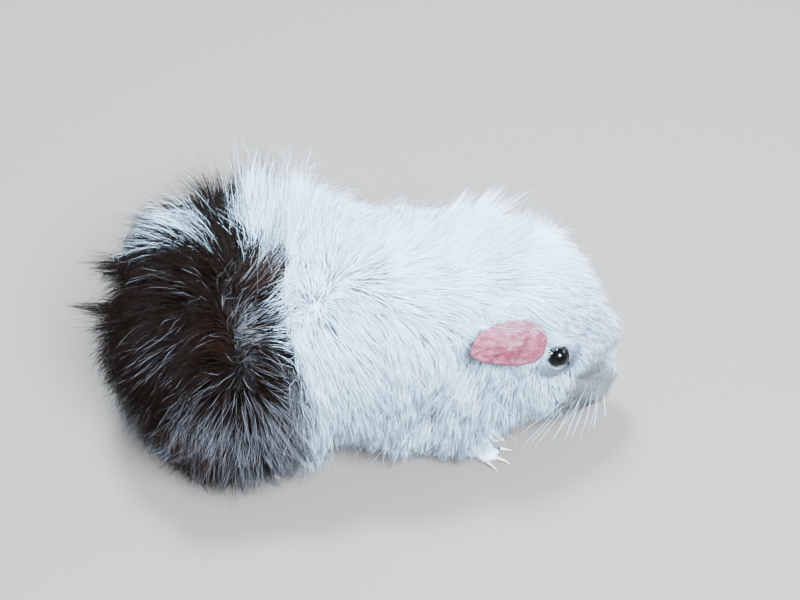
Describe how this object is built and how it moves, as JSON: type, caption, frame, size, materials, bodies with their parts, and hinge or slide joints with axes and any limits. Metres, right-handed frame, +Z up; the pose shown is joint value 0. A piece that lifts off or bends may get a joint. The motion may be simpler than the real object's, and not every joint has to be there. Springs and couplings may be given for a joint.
{
  "type": "guinea pig",
  "caption": "Life-size long-haired guinea pig with whorls in its coat, white in front and dark brown behind, standing with its head lowered.",
  "frame": {"origin": "on the ground under the middle of the animal's box, between its four feet", "axes": "+X from the rump to the nose, +Y to the animal's left, +Z up"},
  "size_m": [0.2706, 0.1616, 0.1254],
  "materials": {
    "coat_white": "long white hair",
    "coat_brown": "long blackish-brown hair with pale tips",
    "skin_pink": "bare pink skin",
    "eye": "wet black",
    "claw": "translucent horn"
  },
  "bodies": {
    "root": {"ear_left": "skin_pink", "ear_right": "skin_pink", "eye_left": "eye", "eye_right": "eye", "forefoot_left": "skin_pink", "forefoot_left_claw_1": "claw", "forefoot_left_claw_2": "claw", "forefoot_left_claw_3": "claw", "forefoot_left_claw_4": "claw", "forefoot_right": "skin_pink", "forefoot_right_claw_1": "claw", "forefoot_right_claw_2": "claw", "forefoot_right_claw_3": "claw", "forefoot_right_claw_4": "claw", "foreleg_left": "coat_white", "foreleg_right": "coat_white", "head": "coat_white", "hindfoot_left": "skin_pink", "hindfoot_left_claw_1": "claw", "hindfoot_left_claw_2": "claw", "hindfoot_left_claw_3": "claw", "hindfoot_right": "skin_pink", "hindfoot_right_claw_1": "claw", "hindfoot_right_claw_2": "claw", "hindfoot_right_claw_3": "claw", "hindleg_left": "coat_brown", "hindleg_right": "coat_brown", "jaw": "coat_white", "neck": "coat_white", "nose": "skin_pink", "rump": "coat_brown", "shoulders": "coat_white", "trunk": "coat_white"}
  },
  "joints": []
}
